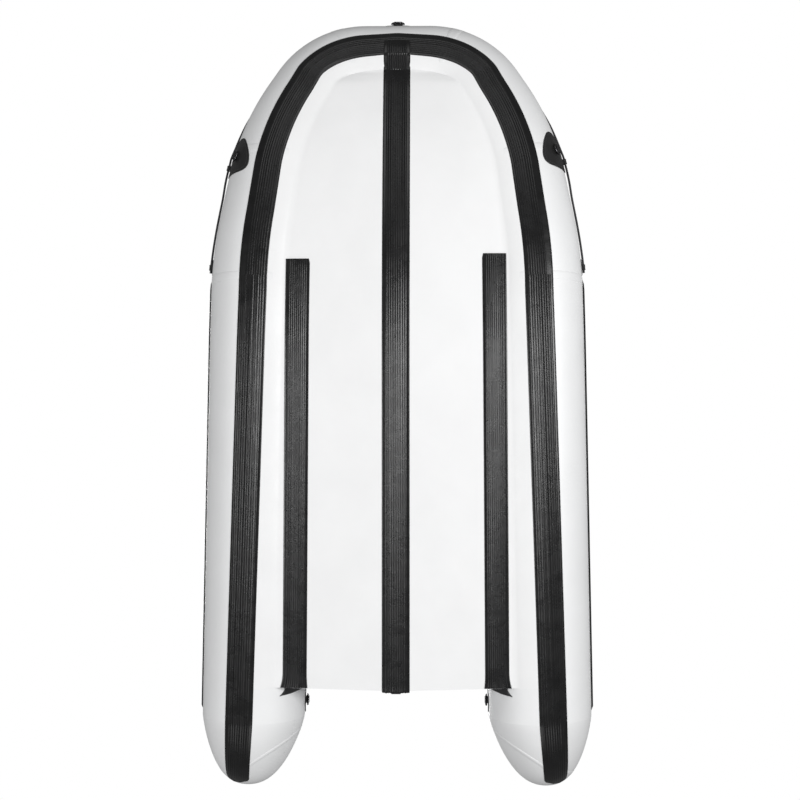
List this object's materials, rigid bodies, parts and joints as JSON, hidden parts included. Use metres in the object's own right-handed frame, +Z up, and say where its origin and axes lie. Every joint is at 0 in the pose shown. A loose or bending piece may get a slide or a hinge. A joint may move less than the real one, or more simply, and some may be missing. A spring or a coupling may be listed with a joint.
{
  "type": "inflatable dinghy",
  "caption": "Inflatable dinghy with an upswept bow, cone-ended tubes, ribbed wear strips on its underside, a V-shaped fabric bottom and a transom for an outboard.",
  "frame": {"origin": "middle of the overall length and beam, on the ground that the keel strip and the wear strips rest on", "axes": "+Y towards the bow, +X to starboard, +Z up"},
  "size_m": [1.5832, 3.1371, 0.7216],
  "materials": {
    "tube_fabric": "satin",
    "bottom_fabric": "satin",
    "floor_fabric": "satin",
    "strip_rubber": "satin",
    "transom_ply": "satin",
    "trim_plastic": "satin",
    "bolt_steel": "satin",
    "drain_plastic": "matte",
    "patch_fabric": "satin",
    "ring_steel": "polished",
    "line_rope": "matte",
    "valve_plastic": "matte",
    "cap_plastic": "matte",
    "plunger_steel": "satin",
    "oarlock_plastic": "matte",
    "oarlock_nylon": "matte",
    "bench_ply": "satin",
    "track_fabric": "matte"
  },
  "bodies": {
    "hull": {"port_chamber": "tube_fabric", "starboard_chamber": "tube_fabric", "bow_chamber": "tube_fabric", "port_tail_cone": "tube_fabric", "starboard_tail_cone": "tube_fabric", "chamber_baffles": "tube_fabric", "hull_bottom": "bottom_fabric", "air_keel": "floor_fabric", "air_floor": "floor_fabric", "port_wear_strip": "strip_rubber", "starboard_wear_strip": "strip_rubber", "bow_wear_strip": "strip_rubber", "keel_strip": "strip_rubber", "port_runner": "strip_rubber", "starboard_runner": "strip_rubber", "port_rub_strake": "strip_rubber", "starboard_rub_strake": "strip_rubber", "transom_board": "transom_ply", "transom_trim": "trim_plastic", "motor_pads": "trim_plastic", "pad_bolts": "bolt_steel", "port_transom_holder": "trim_plastic", "starboard_transom_holder": "trim_plastic", "drain_body": "drain_plastic", "bow_patch": "patch_fabric", "side_patches": "patch_fabric", "stern_patches": "patch_fabric", "line_patches": "patch_fabric", "port_grab_line": "line_rope", "starboard_grab_line": "line_rope", "carry_handles": "patch_fabric", "port_valve": "valve_plastic", "starboard_valve": "valve_plastic", "bow_valve": "valve_plastic", "keel_valve": "valve_plastic", "floor_valve": "valve_plastic", "port_oarlock_base": "oarlock_plastic", "starboard_oarlock_base": "oarlock_plastic", "bench_tracks": "track_fabric"},
    "tow_ring": {"tow_ring": "ring_steel"},
    "port_side_ring": {"port_side_ring": "ring_steel"},
    "starboard_side_ring": {"starboard_side_ring": "ring_steel"},
    "port_stern_ring": {"port_stern_ring": "ring_steel"},
    "starboard_stern_ring": {"starboard_stern_ring": "ring_steel"},
    "port_valve_cap": {"port_valve_cap": "cap_plastic"},
    "starboard_valve_cap": {"starboard_valve_cap": "cap_plastic"},
    "bow_valve_cap": {"bow_valve_cap": "cap_plastic"},
    "keel_valve_cap": {"keel_valve_cap": "cap_plastic"},
    "floor_valve_cap": {"floor_valve_cap": "cap_plastic"},
    "port_valve_plunger": {"port_valve_plunger": "plunger_steel"},
    "starboard_valve_plunger": {"starboard_valve_plunger": "plunger_steel"},
    "bow_valve_plunger": {"bow_valve_plunger": "plunger_steel"},
    "keel_valve_plunger": {"keel_valve_plunger": "plunger_steel"},
    "floor_valve_plunger": {"floor_valve_plunger": "plunger_steel"},
    "port_oarlock": {"port_oarlock": "oarlock_nylon"},
    "starboard_oarlock": {"starboard_oarlock": "oarlock_nylon"},
    "drain_plug": {"drain_plug": "drain_plastic"},
    "bench_seat": {"bench_seat": "bench_ply"}
  },
  "joints": [
    {"name": "tow_ring_swing", "type": "hinge", "parent": "hull", "child": "tow_ring", "pos_m": [0, 1.55647, 0.48826], "axis": [1, 0, 0], "range_deg": [0, 150]},
    {"name": "starboard_side_ring_swing", "type": "hinge", "parent": "hull", "child": "starboard_side_ring", "pos_m": [0.65332, 0.96273, 0.22001], "axis": [0.197, -0.9424, -0.2703], "range_deg": [0, 150]},
    {"name": "port_side_ring_swing", "type": "hinge", "parent": "hull", "child": "port_side_ring", "pos_m": [-0.64538, 0.99131, 0.22593], "axis": [0.2396, 0.9313, 0.2743], "range_deg": [0, 150]},
    {"name": "starboard_stern_ring_swing", "type": "hinge", "parent": "hull", "child": "starboard_stern_ring", "pos_m": [0.3616, -1.22842, 0.24704], "axis": [-0.0207, 0.9998, 0], "range_deg": [0, 150]},
    {"name": "port_stern_ring_swing", "type": "hinge", "parent": "hull", "child": "port_stern_ring", "pos_m": [-0.3616, -1.22842, 0.24704], "axis": [-0.0207, -0.9998, 0], "range_deg": [0, 150]},
    {"name": "starboard_valve_cap_hinge", "type": "hinge", "parent": "hull", "child": "starboard_valve_cap", "pos_m": [0.369, -0.8771, 0.29368], "axis": [0.0207, -0.9998, 0], "range_deg": [0, 150]},
    {"name": "port_valve_cap_hinge", "type": "hinge", "parent": "hull", "child": "port_valve_cap", "pos_m": [-0.369, -0.8771, 0.29368], "axis": [0.0207, 0.9998, 0], "range_deg": [0, 150]},
    {"name": "bow_valve_cap_hinge", "type": "hinge", "parent": "hull", "child": "bow_valve_cap", "pos_m": [0.2903, 0.79967, 0.38753], "axis": [0.176, -0.95, -0.258], "range_deg": [0, 150]},
    {"name": "keel_valve_cap_hinge", "type": "hinge", "parent": "hull", "child": "keel_valve_cap", "pos_m": [0.026, -1.064, 0.0997], "axis": [0, 1, 0], "range_deg": [0, 150]},
    {"name": "floor_valve_cap_hinge", "type": "hinge", "parent": "hull", "child": "floor_valve_cap", "pos_m": [0.19, -0.914, 0.1602], "axis": [-1, 0, 0], "range_deg": [0, 150]},
    {"name": "starboard_valve_press", "type": "slide", "parent": "hull", "child": "starboard_valve_plunger", "axis": [0.8658, 0.018, -0.5], "range_m": [0, 0.006], "stiffness_N_per_m": 400, "springref_m": -0.004},
    {"name": "port_valve_press", "type": "slide", "parent": "hull", "child": "port_valve_plunger", "axis": [-0.8658, 0.018, -0.5], "range_m": [0, 0.006], "stiffness_N_per_m": 400, "springref_m": -0.004},
    {"name": "bow_valve_press", "type": "slide", "parent": "hull", "child": "bow_valve_plunger", "axis": [0.828, 0.2846, -0.4831], "range_m": [0, 0.006], "stiffness_N_per_m": 400, "springref_m": -0.004},
    {"name": "keel_valve_press", "type": "slide", "parent": "hull", "child": "keel_valve_plunger", "axis": [0, 0, -1], "range_m": [0, 0.006], "stiffness_N_per_m": 400, "springref_m": -0.004},
    {"name": "floor_valve_press", "type": "slide", "parent": "hull", "child": "floor_valve_plunger", "axis": [0, 0, -1], "range_m": [0, 0.006], "stiffness_N_per_m": 400, "springref_m": -0.004},
    {"name": "starboard_oarlock_turn", "type": "hinge", "parent": "hull", "child": "starboard_oarlock", "pos_m": [0.55595, -0.36, 0.4446], "axis": [0, 0, 1], "continuous": true},
    {"name": "port_oarlock_turn", "type": "hinge", "parent": "hull", "child": "port_oarlock", "pos_m": [-0.55595, -0.36, 0.4446], "axis": [0, 0, 1], "continuous": true},
    {"name": "drain_plug_pull", "type": "slide", "parent": "hull", "child": "drain_plug", "axis": [0, -1, 0], "range_m": [0, 0.04]},
    {"name": "bench_slide", "type": "slide", "parent": "hull", "child": "bench_seat", "axis": [0, 1, 0], "range_m": [-0.1, 0.1]}
  ]
}
